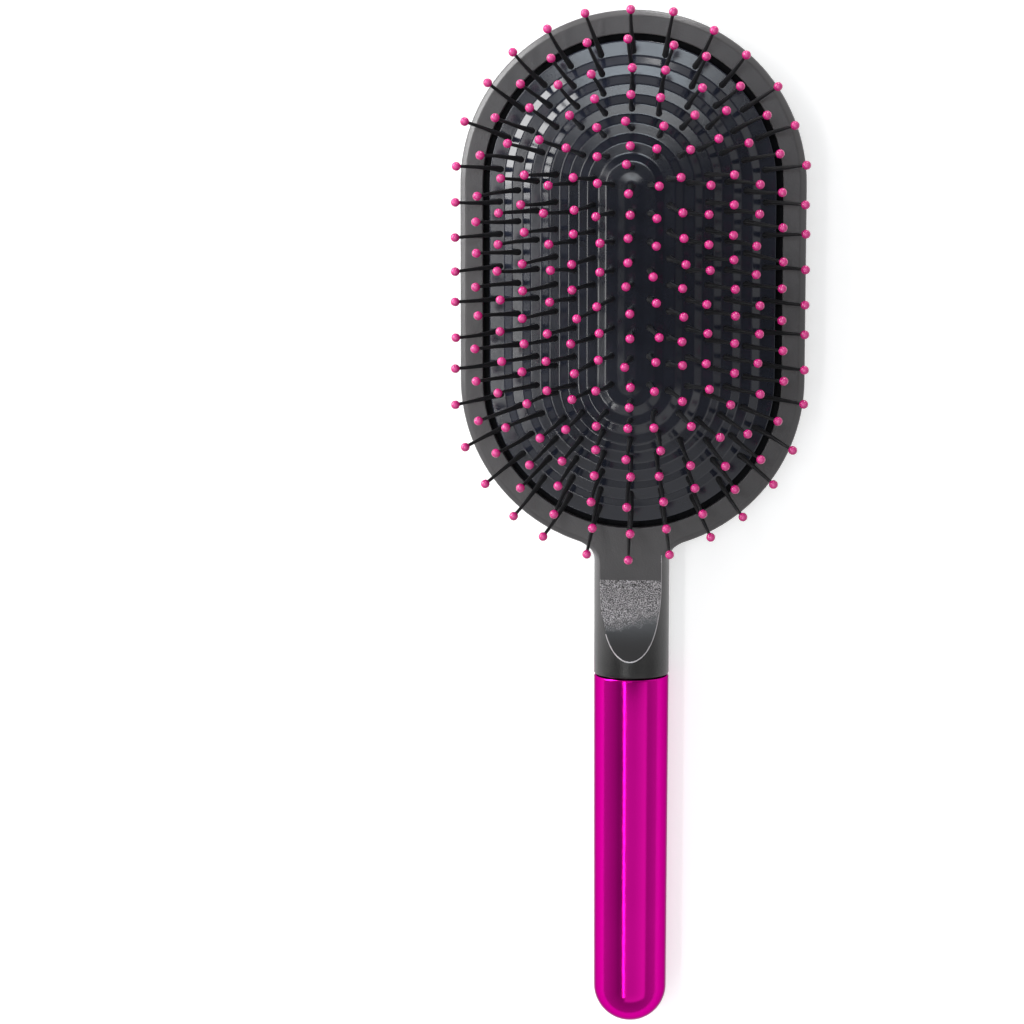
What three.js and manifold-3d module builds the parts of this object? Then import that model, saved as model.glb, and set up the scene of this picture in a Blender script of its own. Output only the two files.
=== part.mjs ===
// Cushion styling brush, lying on its back with its pins up.
// Millimetres. +Z is up, +Y points to the top of the head, X runs across the head.
// The origin is on the surface that the brush lies on, below the middle of its length.

import * as THREE from 'three';
import { mergeVertices } from 'three/addons/utils/BufferGeometryUtils.js';
import Module from 'manifold-3d';

const wasm = await Module();
wasm.setup();

// Head
const HEAD_WIDTH = 89;
const HEAD_STRAIGHT = 50.2; // between the centres of the head's two round ends
const HEAD_THICKNESS = 11.2; // at its edge, from the frame's face to the back cover's rim
const FRAME_WIDTH = 6; // from the head's edge to the opening
const FRONT_CHAMFER = 1.1;
const BACK_ROUNDING = 3; // height over which the side turns into the back cover
const BACK_FULLNESS = 3; // power of the back cover's curve: 2 is an ellipse, more is flatter
const BACK_LAND = 12; // half width of the flat that the brush lies on
const SHELL_WALL = 1.6;

// Neck and handle
const NECK_DIAMETER = 19.6;
const NECK_LENGTH = 33.2; // from the head's round end to the sleeve
const NECK_FILLET = 6;
const COLLAR_LENGTH = 4.4; // whole round stretch between the scoops and the sleeve
const RAMP_LENGTH = 21; // the scoops' rise from the head's face to the neck's round surface
const SLEEVE_LENGTH = 93.8;
const SLEEVE_END_DIAMETER = 19.1;
const SLEEVE_WALL = 1.2;
const SLEEVE_LIP = 0.3; // bevel of the sleeve's open end
const SPIGOT_LENGTH = 8; // of the neck, inside the sleeve
const SPIGOT_WALL = 1.4;
const TANG_THICKNESS = 6.4; // flat part of the handle core, inside the neck
const TANG_END_WALL = 2; // between the tang's slot and the hollow of the head
const POST_DIAMETER = 4;
const POST_INSET = 5.5; // from the tang's end to the first post
const POST_SPACING = 13;
const CORE_CLEARANCE = 0.8; // round part of the core in the sleeve
const CORE_END_SPACE = 1; // between the core and the start of the sleeve's round end
const CORE_BEVEL = 1;
const RING_GROOVE_DEPTH = 1.4;
const RING_INSET = 12; // of a sleeve ring, from each end of the core's round part

// Cushion and what holds it
const GROOVE_WIDTH = 1.7; // open groove between the frame and the cushion
const LIP_THICKNESS = 2.4; // of the frame over the cushion's flange
const FLANGE_OVERLAP = 1.2; // of the flange under the lip
const FLANGE_THICKNESS = 1.4;
const CLAMP_RING_THICKNESS = 1.05;
const TRAY_THICKNESS = 1.5;
const TRAY_RIB_HEIGHT = 1.1;
const TRAY_RIB_WIDTH = 1.2;
const SCREW_COUNT = 8;
const SCREW_DIAMETER = 2.2;
const SCREW_LENGTH = 6;
const SCREW_HEAD_DIAMETER = 4.2;
const SCREW_HEAD_HEIGHT = 1.2;
const SCREW_INSET = 14; // of the screws, from the head's edge
const BOSS_WALL = 1.4;
const CUSHION_SINK = 0.6; // of the cushion's base plane below the frame's face
const CUSHION_CROWN = 8; // height of the top terrace over the base plane
const CUSHION_SKIN = 1.6;
const CUSHION_RIM_WIDTH = 0.5; // fixed outer strip of the cushion
const CUSHION_EDGE_BEVEL = 0.3;
const STEP_WIDTH = 2; // sloped step between two terraces

// Pins, from the outermost ring to the row in the middle
const PINS_PER_RING = [38, 36, 34, 32, 26, 24, 18, 9];
const RINGS_PER_SLICE = 2;
const PIN_RING_INSET = 2.5; // of the outermost ring, from the cushion's edge
const PIN_LENGTH = 17; // from the cushion to the middle of the ball tip
const PIN_LEAN = 37.5; // degrees, of the outermost ring
const PIN_SIDE_LEAN_POWER = 0.8; // how the lean falls off towards the middle, from the sides
const PIN_END_LEAN_POWER = 1.9; // and from the head's round ends
const PIN_ROOT_DIAMETER = 1.6;
const PIN_DIAMETER = 0.9;
const PIN_TIP_DIAMETER = 2.2;
const PIN_SUNK = 0.7; // of a pin's root in the rubber

const FIT_GAP = 0.3; // between pieces that touch
const HEAD_ARC_STEPS = 16; // facets of a round end of the head
const CUSHION_ARC_STEPS = 12;
const HANDLE_STEPS = 32;
const SMALL_ROUND_STEPS = 10; // facets of a screw, boss or post
const PIN_SIDES = 4;

// Heights
const neckRadius = NECK_DIAMETER / 2;
const axisZ = neckRadius;
const frontZ = axisZ + HEAD_THICKNESS / 2;
const backRimZ = axisZ - HEAD_THICKNESS / 2;
const backSideZ = backRimZ + BACK_ROUNDING;
const lipZ = frontZ - LIP_THICKNESS;
const flangeTopZ = lipZ - FIT_GAP;
const flangeBottomZ = flangeTopZ - FLANGE_THICKNESS;
const clampTopZ = flangeBottomZ - FIT_GAP;
const clampBottomZ = clampTopZ - CLAMP_RING_THICKNESS;
const trayTopZ = clampBottomZ - FIT_GAP;
const trayBottomZ = trayTopZ - TRAY_THICKNESS;
const frontShellZ = trayTopZ + FIT_GAP; // underside of the front shell
const backShellZ = trayTopZ; // top of the back shell's wall
const screwSeatZ = trayTopZ + FIT_GAP;
const screwEndZ = screwSeatZ - SCREW_LENGTH;
const cushionBaseZ = frontZ - CUSHION_SINK;

// Distances out from the head's middle line
const headRadius = HEAD_WIDTH / 2;
const openingRadius = headRadius - FRAME_WIDTH;
const cushionRadius = openingRadius - GROOVE_WIDTH;
const rimInnerRadius = cushionRadius - CUSHION_RIM_WIDTH;
const flangeRadius = openingRadius + FLANGE_OVERLAP;
const cavityRadius = headRadius - SHELL_WALL;
const trayRadius = cavityRadius - FIT_GAP;
const screwRadius = headRadius - SCREW_INSET;
const outerPinRadius = cushionRadius - PIN_RING_INSET;
const ringPitch = outerPinRadius / (PINS_PER_RING.length - 1);

// Places along the brush
const pinReach = outerPinRadius + PIN_LENGTH * Math.sin(radians(PIN_LEAN)) + PIN_TIP_DIAMETER / 2;
const topReach = Math.max(headRadius, pinReach);
const halfStraight = HEAD_STRAIGHT / 2;
const wholeLength = topReach + HEAD_STRAIGHT + headRadius + NECK_LENGTH + SLEEVE_LENGTH;
const headY = wholeLength / 2 - topReach - halfStraight;
const lowArcY = headY - halfStraight;
const seamY = lowArcY - headRadius - NECK_LENGTH;
const spigotEndY = seamY - SPIGOT_LENGTH;
const tangEndY = lowArcY - cavityRadius - TANG_END_WALL - FIT_GAP;
const sleeveTopY = seamY - FIT_GAP;
const sleeveEndY = seamY - SLEEVE_LENGTH;
const roundEndY = sleeveEndY + SLEEVE_END_DIAMETER / 2; // middle of the sleeve's round end
const coreTopY = spigotEndY - FIT_GAP;
const coreEndY = roundEndY + CORE_END_SPACE;

// Fits in the handle
const sleeveBore = neckRadius - SLEEVE_WALL;
const sleeveEndBore = SLEEVE_END_DIAMETER / 2 - SLEEVE_WALL;
const spigotRadius = sleeveBore - FIT_GAP;
const tangRadius = spigotRadius - SPIGOT_WALL - FIT_GAP;
const narrowBore = Math.min(sleeveBore, sleeveEndBore); // the core and its rings slide in past this
const coreRadius = narrowBore - CORE_CLEARANCE;
const grooveRadius = coreRadius - RING_GROOVE_DEPTH;
const ringInnerRadius = grooveRadius + FIT_GAP;
const ringOuterRadius = narrowBore - FIT_GAP;
const ringThickness = ringOuterRadius - ringInnerRadius;
const ringYs = [coreTopY - RING_INSET, coreEndY + RING_INSET];
const postYs = [tangEndY - POST_INSET, tangEndY - POST_INSET - POST_SPACING];

function radians(degrees) {
  return degrees * Math.PI / 180;
}

// A closed solid from points and triangles, with its faces turned outwards
function solidFrom(points, triangles) {
  const geometry = new THREE.BufferGeometry().setFromPoints(points);
  geometry.setIndex(triangles.flat());
  return solidOf(geometry);
}

// A closed solid from a three.js geometry
function solidOf(geometry) {
  geometry.deleteAttribute('normal');
  geometry.deleteAttribute('uv');
  const merged = mergeVertices(geometry, 1e-5);
  const place = merged.attributes.position;
  const corner = (i) => new THREE.Vector3().fromBufferAttribute(place, i);
  const triangles = [];
  let volume = 0;
  for (let i = 0; i < merged.index.count; i += 3) {
    const [a, b, c] = [0, 1, 2].map((j) => merged.index.getX(i + j));
    if (a !== b && b !== c && c !== a) {
      triangles.push([a, b, c]);
      volume += corner(a).dot(corner(b).cross(corner(c)));
    }
  }
  const outward = volume > 0 ? triangles : triangles.map(([a, b, c]) => [a, c, b]);
  return new wasm.Manifold(new wasm.Mesh({
    numProp: 3,
    vertProperties: new Float32Array(place.array),
    triVerts: new Uint32Array(outward.flat()),
  }));
}

function geometryOf(solid) {
  const mesh = solid.getMesh();
  const geometry = new THREE.BufferGeometry();
  geometry.setAttribute('position', new THREE.BufferAttribute(mesh.vertProperties, 3));
  geometry.setIndex(new THREE.BufferAttribute(mesh.triVerts, 1));
  return geometry;
}

// Joins loops of equal length into one skin: capped at both ends, or closed on itself
function loft(loops, closedOnItself = false) {
  const count = loops[0].length;
  const points = loops.flat();
  const triangles = [];
  const bands = closedOnItself ? loops.length : loops.length - 1;
  for (let band = 0; band < bands; band += 1) {
    const low = band * count;
    const high = ((band + 1) % loops.length) * count;
    for (let i = 0; i < count; i += 1) {
      const next = (i + 1) % count;
      triangles.push([low + i, low + next, high + next], [low + i, high + next, high + i]);
    }
  }
  if (!closedOnItself) {
    fan(points, triangles, loops[0], 0, true);
    fan(points, triangles, loops.at(-1), (loops.length - 1) * count, false);
  }
  return solidFrom(points, triangles);
}

// Closes a loop with triangles from its middle
function fan(points, triangles, loop, first, flipped) {
  const middle = new THREE.Vector3();
  loop.forEach((point) => middle.add(point));
  const hub = points.push(middle.divideScalar(loop.length)) - 1;
  loop.forEach((point, i) => {
    const a = first + i;
    const b = first + (i + 1) % loop.length;
    triangles.push(flipped ? [hub, b, a] : [hub, a, b]);
  });
}

// The head's outline at a distance out from its middle line: two half circles and two straights
function headLoop(radius, z, steps) {
  const loop = [];
  for (const [arcY, start] of [[headY + halfStraight, 0], [lowArcY, Math.PI]]) {
    for (let i = 0; i <= steps; i += 1) {
      const angle = start + Math.PI * i / steps;
      const reach = new THREE.Vector2(Math.cos(angle), Math.sin(angle)).multiplyScalar(radius);
      loop.push(new THREE.Vector3(reach.x, arcY + reach.y, z));
    }
  }
  return loop;
}

// A plate or dish over the head's outline, from a list of [radius, z]
function headPlate(profile, steps = HEAD_ARC_STEPS) {
  return loft(profile.map(([radius, z]) => headLoop(radius, z, steps)));
}

// A frame along the head's outline, from a closed section of [radius, z]
function headRing(section, steps = HEAD_ARC_STEPS) {
  return loft(section.map(([radius, z]) => headLoop(radius, z, steps)), true);
}

function straightPlate(radius, bottomZ, topZ) {
  return headPlate([[radius, bottomZ], [radius, topZ]]);
}

// Places at equal steps along the head's outline, each with its direction outwards. The first is
// shift steps past the top. On the middle line itself they run from end to end.
function placesAlong(radius, count, shift = 0) {
  const onMiddleLine = radius < 1e-6;
  if (onMiddleLine) {
    const step = HEAD_STRAIGHT / (count - 1);
    return Array.from({ length: count }, (_, i) => (
      { x: 0, y: headY + halfStraight - i * step, out: new THREE.Vector2(0, 1) }
    ));
  }
  const quarter = Math.PI * radius / 2;
  const half = 2 * quarter + HEAD_STRAIGHT;
  return Array.from({ length: count }, (_, i) => {
    const along = ((i + shift) * 2 * half / count) % (2 * half);
    const side = along < half ? 1 : -1;
    const down = along < half ? along : 2 * half - along;
    const onTopArc = down < quarter;
    const onLowArc = down > quarter + HEAD_STRAIGHT;
    const turned = onTopArc ? down : Math.max(quarter, down - HEAD_STRAIGHT);
    const angle = turned / radius;
    const out = new THREE.Vector2(side * Math.sin(angle), Math.cos(angle));
    const straightY = headY + halfStraight - (down - quarter);
    const arcY = onTopArc ? headY + halfStraight : lowArcY;
    const y = onTopArc || onLowArc ? arcY + radius * out.y : straightY;
    return { x: radius * out.x, y, out };
  });
}

// A round bar along Y, from a list of [radius, y] that starts and ends on its axis
function handleTurning(profile) {
  const outline = profile.map(([radius, y]) => new THREE.Vector2(radius, y));
  return solidOf(new THREE.LatheGeometry(outline, HANDLE_STEPS).translate(0, 0, axisZ));
}

function handleBar(radius, lowY, highY) {
  return handleTurning([[0, lowY], [radius, lowY], [radius, highY], [0, highY]]);
}

// An upright round bar, from a list of [radius, z] that starts and ends on its axis
function uprightTurning(profile, { x, y }) {
  const outline = profile.map(([radius, z]) => new THREE.Vector2(radius, z));
  const geometry = new THREE.LatheGeometry(outline, SMALL_ROUND_STEPS).rotateX(Math.PI / 2);
  return solidOf(geometry.translate(x, y, 0));
}

function uprightBar(radius, lowZ, highZ, place) {
  return uprightTurning([[0, lowZ], [radius, lowZ], [radius, highZ], [0, highZ]], place);
}

// Everything of the brush's length and width between two heights
function layer(lowZ, highZ) {
  const size = 2 * wholeLength;
  return solidOf(new THREE.BoxGeometry(size, size, highZ - lowZ).translate(0, 0, (lowZ + highZ) / 2));
}

function addAll(solid, others) {
  return others.reduce((sum, other) => sum.add(other), solid);
}

function cutAll(solid, others) {
  return others.reduce((rest, other) => rest.subtract(other), solid);
}

// The flat of the back cover: a loop drawn in to the flat's four corners
function landLoop(z) {
  return headLoop(BACK_LAND, z, HEAD_ARC_STEPS).map(({ x, y }) => {
    const cornerY = y > headY ? headY + halfStraight : lowArcY;
    return new THREE.Vector3(x < 0 ? -BACK_LAND : BACK_LAND, cornerY, z);
  });
}

// The back cover's outside or inside, which is as wide as radius at its rim, and then a list of
// [radius, z] for what stands on that rim
function backDish(radius, bottomZ, upperProfile) {
  const [firstStep, steps] = [3, 9];
  const profile = [];
  for (let i = firstStep; i <= steps; i += 1) {
    const share = Math.sin(Math.PI / 2 * i / steps);
    const depth = Math.sqrt(1 - share ** BACK_FULLNESS);
    profile.push([radius * share, backSideZ - (backSideZ - bottomZ) * depth]);
  }
  const loops = [...profile, ...upperProfile].map(([r, z]) => headLoop(r, z, HEAD_ARC_STEPS));
  return loft([landLoop(bottomZ), ...loops]);
}

function headSolid() {
  return backDish(headRadius, 0, [
    [headRadius, frontZ - FRONT_CHAMFER],
    [headRadius - FRONT_CHAMFER, frontZ],
  ]);
}

// How far the head's side stands back from its widest line
function headSideInset(z) {
  if (z > frontZ - FRONT_CHAMFER) {
    return z - (frontZ - FRONT_CHAMFER);
  }
  const depth = Math.max(0, (backSideZ - z) / backSideZ);
  return headRadius * (1 - (1 - depth ** 2) ** (1 / BACK_FULLNESS));
}

function neckSideInset(z) {
  return neckRadius - Math.sqrt(neckRadius ** 2 - (z - axisZ) ** 2);
}

// The web between head and neck. Its plan follows the fillet, and its side turns from the head's
// edge into the neck's round surface.
function neckWeb() {
  const sections = 8;
  const heights = 10;
  const filletX = neckRadius + NECK_FILLET;
  const filletY = lowArcY - Math.sqrt((headRadius + NECK_FILLET) ** 2 - filletX ** 2);
  const touchY = lowArcY + (filletY - lowArcY) * headRadius / (headRadius + NECK_FILLET);
  const sectionAt = (share, y) => {
    const planY = filletY + (touchY - filletY) * share;
    const halfWidth = filletX - Math.sqrt(NECK_FILLET ** 2 - (planY - filletY) ** 2);
    const headShare = THREE.MathUtils.smoothstep(share, 0, 1);
    const side = Array.from({ length: heights + 1 }, (_, j) => {
      const z = backRimZ + HEAD_THICKNESS * j / heights;
      const inset = THREE.MathUtils.lerp(neckSideInset(z), headSideInset(z), headShare);
      return new THREE.Vector3(halfWidth - inset, y ?? planY, z);
    });
    return [...side, ...side.map((p) => new THREE.Vector3(-p.x, p.y, p.z)).reverse()];
  };
  const loops = Array.from({ length: sections + 1 }, (_, i) => sectionAt(i / sections));
  loops.push(sectionAt(1, touchY + NECK_FILLET));
  return loft(loops);
}

// What a scoop takes from the neck: all that stands over the head's face, and then less and less
// up a hollow ramp to the collar. side is 1 on the front and -1 on the back.
function scoop(side) {
  const steps = 10;
  const face = HEAD_THICKNESS / 2;
  const rise = neckRadius - face;
  const rampRadius = (RAMP_LENGTH ** 2 + rise ** 2) / (2 * rise);
  const rampEndY = seamY + COLLAR_LENGTH;
  const outline = Array.from({ length: steps + 1 }, (_, i) => {
    const along = RAMP_LENGTH * i / steps;
    const up = rampRadius - Math.sqrt(rampRadius ** 2 - along ** 2);
    return new THREE.Vector2(rampEndY + RAMP_LENGTH - along, side * (face + up));
  });
  const far = side * NECK_DIAMETER;
  outline.push(new THREE.Vector2(rampEndY, far), new THREE.Vector2(headY, far));
  outline.push(new THREE.Vector2(headY, side * face));
  const depth = 2 * NECK_DIAMETER;
  const geometry = new THREE.ExtrudeGeometry(new THREE.Shape(outline), { depth, bevelEnabled: false });
  const axes = [new THREE.Vector3(0, 1, 0), new THREE.Vector3(0, 0, 1), new THREE.Vector3(1, 0, 0)];
  geometry.translate(0, 0, -depth / 2).applyMatrix4(new THREE.Matrix4().makeBasis(...axes));
  return solidOf(geometry.translate(0, 0, axisZ));
}

// Head, neck and spigot in one, before the two shells are cut from it
function bodySolid() {
  const neck = cutAll(handleBar(neckRadius, seamY, lowArcY - openingRadius), [scoop(1), scoop(-1)]);
  const spigot = handleBar(spigotRadius, spigotEndY, seamY + COLLAR_LENGTH / 2);
  return addAll(headSolid(), [neck, neckWeb(), spigot]);
}

// The flat bar of the handle core, or with a gap the slot that it lies in
function tang(gap, lowY, highY) {
  const round = handleBar(tangRadius + gap, lowY, highY);
  const reach = TANG_THICKNESS / 2 + gap;
  return round.intersect(layer(axisZ - reach, axisZ + reach));
}

function tangSlot() {
  return tang(FIT_GAP, spigotEndY - 1, tangEndY + FIT_GAP);
}

function frontShell() {
  const opening = straightPlate(openingRadius, 0, 2 * frontZ);
  const flangeSeat = straightPlate(flangeRadius + FIT_GAP, 0, lipZ);
  const half = bodySolid().intersect(layer(frontShellZ, 2 * frontZ));
  return cutAll(half, [opening, flangeSeat, tangSlot()]);
}

function backShell() {
  const body = bodySolid();
  const hollow = backDish(cavityRadius, SHELL_WALL, [[cavityRadius, frontZ]]);
  const half = cutAll(body.intersect(layer(-1, backShellZ)), [hollow, tangSlot()]);
  const bossTopZ = trayBottomZ - FIT_GAP;
  const boreRadius = SCREW_DIAMETER / 2 + FIT_GAP;
  const places = screwPlaces();
  const bosses = places.map((place) => uprightBar(boreRadius + BOSS_WALL, 0, bossTopZ, place));
  const bores = places.map((place) => uprightBar(boreRadius, screwEndZ - FIT_GAP, frontZ, place));
  const slotReach = TANG_THICKNESS / 2 + FIT_GAP;
  const postLowZ = axisZ - slotReach - SHELL_WALL / 2;
  const postTopZ = axisZ + slotReach - FIT_GAP;
  const posts = postYs.map((y) => uprightBar(POST_DIAMETER / 2, postLowZ, postTopZ, { x: 0, y }));
  const inside = bosses.map((boss) => boss.intersect(body));
  return cutAll(addAll(half, [...inside, ...posts]), bores);
}

function screwPlaces() {
  return placesAlong(screwRadius, SCREW_COUNT, 0.5);
}

function trayScrew(place) {
  const radius = SCREW_DIAMETER / 2;
  const headTopZ = screwSeatZ + SCREW_HEAD_HEIGHT;
  const headRim = SCREW_HEAD_DIAMETER / 2;
  return uprightTurning([
    [0, screwEndZ], [radius / 2, screwEndZ], [radius, screwEndZ + radius], [radius, screwSeatZ],
    [headRim, screwSeatZ], [headRim, headTopZ - SCREW_HEAD_HEIGHT / 2], [headRim / 2, headTopZ],
    [0, headTopZ],
  ], place);
}

function cushionTray() {
  const ribOuter = rimInnerRadius - FIT_GAP;
  const ribInner = ribOuter - TRAY_RIB_WIDTH;
  const ribTopZ = trayTopZ + TRAY_RIB_HEIGHT;
  const rib = headRing([
    [ribInner, trayBottomZ], [ribOuter, trayBottomZ], [ribOuter, ribTopZ], [ribInner, ribTopZ],
  ]);
  const holeRadius = SCREW_DIAMETER / 2 + FIT_GAP;
  const holes = screwPlaces().map((place) => uprightBar(holeRadius, 0, 2 * frontZ, place));
  return cutAll(straightPlate(trayRadius, trayBottomZ, trayTopZ).add(rib), holes);
}

function cushionClampRing() {
  return headRing([
    [rimInnerRadius, clampBottomZ], [flangeRadius, clampBottomZ],
    [flangeRadius, clampTopZ], [rimInnerRadius, clampTopZ],
  ]);
}

function handleCore() {
  const groove = ringThickness / 2 + FIT_GAP;
  const grooves = ringYs.flatMap((y) => [
    [coreRadius, y + groove], [grooveRadius, y + groove],
    [grooveRadius, y - groove], [coreRadius, y - groove],
  ]);
  const round = handleTurning([
    [0, coreTopY], [coreRadius, coreTopY], ...grooves,
    [coreRadius, coreEndY + CORE_BEVEL], [coreRadius - CORE_BEVEL, coreEndY], [0, coreEndY],
  ]);
  const holeRadius = POST_DIAMETER / 2 + FIT_GAP;
  const holes = postYs.map((y) => uprightBar(holeRadius, 0, NECK_DIAMETER, { x: 0, y }));
  return cutAll(round.add(tang(0, coreTopY - CORE_BEVEL, tangEndY)), holes);
}

function sleeveRing(y) {
  const sides = 6;
  const middle = (ringInnerRadius + ringOuterRadius) / 2;
  const section = Array.from({ length: sides + 1 }, (_, i) => {
    const angle = 2 * Math.PI * (i % sides) / sides;
    return [middle + ringThickness / 2 * Math.cos(angle), y + ringThickness / 2 * Math.sin(angle)];
  });
  return handleTurning(section);
}

function handleSleeve() {
  const endSteps = 6;
  const roundEnd = (radius) => Array.from({ length: endSteps + 1 }, (_, i) => {
    const angle = Math.PI / 2 * i / endSteps;
    return [radius * Math.sin(angle), roundEndY - radius * Math.cos(angle)];
  });
  return handleTurning([
    ...roundEnd(SLEEVE_END_DIAMETER / 2),
    [neckRadius, sleeveTopY - SLEEVE_LIP], [neckRadius - SLEEVE_LIP, sleeveTopY],
    [sleeveBore, sleeveTopY],
    ...roundEnd(sleeveEndBore).reverse(),
  ]);
}

// Pin rings and terraces, numbered from the outside in
function ringRadius(ring) {
  return outerPinRadius - ring * ringPitch;
}

function terraceZ(ring) {
  return cushionBaseZ + CUSHION_CROWN * (1 - (ringRadius(ring) / cushionRadius) ** 2);
}

// The top of the cushion over a stretch from its outer to its inner radius, as [radius, z]
function terraceProfile(outer, inner) {
  const corners = PINS_PER_RING.slice(1).flatMap((_, ring) => {
    const middle = ringRadius(ring) - ringPitch / 2;
    return [
      [middle + STEP_WIDTH / 2, terraceZ(ring)],
      [middle - STEP_WIDTH / 2, terraceZ(ring + 1)],
    ];
  });
  const heightAt = (radius) => {
    const after = corners.findIndex(([cornerRadius]) => cornerRadius <= radius);
    if (after <= 0) {
      return after === 0 ? corners[0][1] : corners.at(-1)[1];
    }
    const [[farRadius, farZ], [nearRadius, nearZ]] = [corners[after - 1], corners[after]];
    return THREE.MathUtils.mapLinear(radius, farRadius, nearRadius, farZ, nearZ);
  };
  const between = corners.filter(([radius]) => radius < outer && radius > inner);
  const ends = inner > 0 ? [[inner, heightAt(inner)]] : [];
  return [[outer, heightAt(outer)], ...between, ...ends];
}

function cushionRim() {
  const topZ = terraceZ(0);
  return headRing([
    [rimInnerRadius, flangeBottomZ], [flangeRadius, flangeBottomZ], [flangeRadius, flangeTopZ],
    [cushionRadius, flangeTopZ], [cushionRadius, topZ - CUSHION_EDGE_BEVEL],
    [cushionRadius - CUSHION_EDGE_BEVEL, topZ], [rimInnerRadius, topZ],
  ], CUSHION_ARC_STEPS);
}

// One moving part of the cushion, with its pins. Slices have upright walls between them, so that
// each can go down further than the one outside it.
function cushionSlice(slice) {
  const firstRing = slice * RINGS_PER_SLICE;
  const lastRing = Math.min(firstRing + RINGS_PER_SLICE, PINS_PER_RING.length) - 1;
  const isCrown = lastRing === PINS_PER_RING.length - 1;
  const wallOutside = firstRing === 0 ? rimInnerRadius : ringRadius(firstRing) + ringPitch / 2;
  const outer = wallOutside - (firstRing === 0 ? FIT_GAP : FIT_GAP / 2);
  const inner = isCrown ? 0 : ringRadius(lastRing) - ringPitch / 2 + FIT_GAP / 2;
  const top = terraceProfile(outer, inner);
  const underside = top.map(([radius, z]) => [radius, z - CUSHION_SKIN]).reverse();
  const profile = [...underside, ...top];
  const skin = (isCrown ? headPlate : headRing)(profile, CUSHION_ARC_STEPS);
  return skin.add(pins(firstRing, lastRing));
}

// Pins from their sunk roots to their ball tips
function pins(firstRing, lastRing) {
  const points = [];
  const triangles = [];
  const tipRadius = PIN_TIP_DIAMETER / 2;
  const stations = [
    [-PIN_SUNK, PIN_ROOT_DIAMETER / 2],
    [PIN_LENGTH - tipRadius, PIN_DIAMETER / 2],
    [PIN_LENGTH, tipRadius],
  ];
  for (let ring = firstRing; ring <= lastRing; ring += 1) {
    const share = ringRadius(ring) / outerPinRadius;
    for (const { x, y, out } of placesAlong(ringRadius(ring), PINS_PER_RING[ring])) {
      const root = new THREE.Vector3(x, y, terraceZ(ring));
      const power = PIN_SIDE_LEAN_POWER + (PIN_END_LEAN_POWER - PIN_SIDE_LEAN_POWER) * out.y ** 2;
      const lean = radians(PIN_LEAN) * share ** power;
      const along = new THREE.Vector3(out.x * Math.sin(lean), out.y * Math.sin(lean), Math.cos(lean));
      const across = new THREE.Vector3(-out.y, out.x, 0);
      const upward = new THREE.Vector3().crossVectors(along, across);
      const first = points.length;
      for (const [distance, radius] of stations) {
        for (let i = 0; i < PIN_SIDES; i += 1) {
          const angle = 2 * Math.PI * i / PIN_SIDES;
          const point = root.clone().addScaledVector(along, distance);
          point.addScaledVector(across, radius * Math.cos(angle));
          points.push(point.addScaledVector(upward, radius * Math.sin(angle)));
        }
      }
      const tip = points.push(root.clone().addScaledVector(along, PIN_LENGTH + tipRadius)) - 1;
      const lastLoop = tip - PIN_SIDES;
      for (let i = 0; i < PIN_SIDES; i += 1) {
        const next = (i + 1) % PIN_SIDES;
        for (let low = first; low < lastLoop; low += PIN_SIDES) {
          const high = low + PIN_SIDES;
          triangles.push([low + i, low + next, high + next], [low + i, high + next, high + i]);
        }
        triangles.push([lastLoop + i, lastLoop + next, tip]);
      }
      for (let i = 1; i < PIN_SIDES - 1; i += 1) {
        triangles.push([first, first + i + 1, first + i]);
      }
    }
  }
  return solidFrom(points, triangles);
}

// Colour, roughness and metalness
const FRONT_GREY = ['#5a595b', 0.5, 0];
const BACK_GREY = ['#353536', 0.45, 0];
const MAGENTA = ['#c4008c', 0.25, 0.8];
const CUSHION_BLACK = ['#20222c', 0.3, 0];
const CORE_GREY = ['#8c8c8a', 0.6, 0];
const TRAY_GREY = ['#2a2a2c', 0.6, 0];
const RING_BLACK = ['#141414', 0.8, 0];
const STEEL = ['#b4b6ba', 0.35, 1];

const SLICE_NAMES = ['cushion_outer', 'cushion_middle', 'cushion_inner', 'cushion_crown'];

const pieces = [
  ['front_shell', frontShell(), FRONT_GREY],
  ['back_shell', backShell(), BACK_GREY],
  ['handle_core', handleCore(), CORE_GREY],
  ['handle_sleeve', handleSleeve(), MAGENTA],
  ['cushion_tray', cushionTray(), TRAY_GREY],
  ['cushion_clamp_ring', cushionClampRing(), TRAY_GREY],
  ['cushion_rim', cushionRim(), CUSHION_BLACK],
  ...SLICE_NAMES.map((name, i) => [name, cushionSlice(i), CUSHION_BLACK]),
  ...ringYs.map((y, i) => [`sleeve_ring_${i + 1}`, sleeveRing(y), RING_BLACK]),
  ...screwPlaces().map((place, i) => [`tray_screw_${i + 1}`, trayScrew(place), STEEL]),
];

const brush = new THREE.Group();
for (const [name, solid, [color, roughness, metalness]] of pieces) {
  const material = new THREE.MeshStandardMaterial({ color, roughness, metalness });
  const mesh = new THREE.Mesh(geometryOf(solid), material);
  mesh.name = name;
  brush.add(mesh);
}

export default brush;
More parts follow.
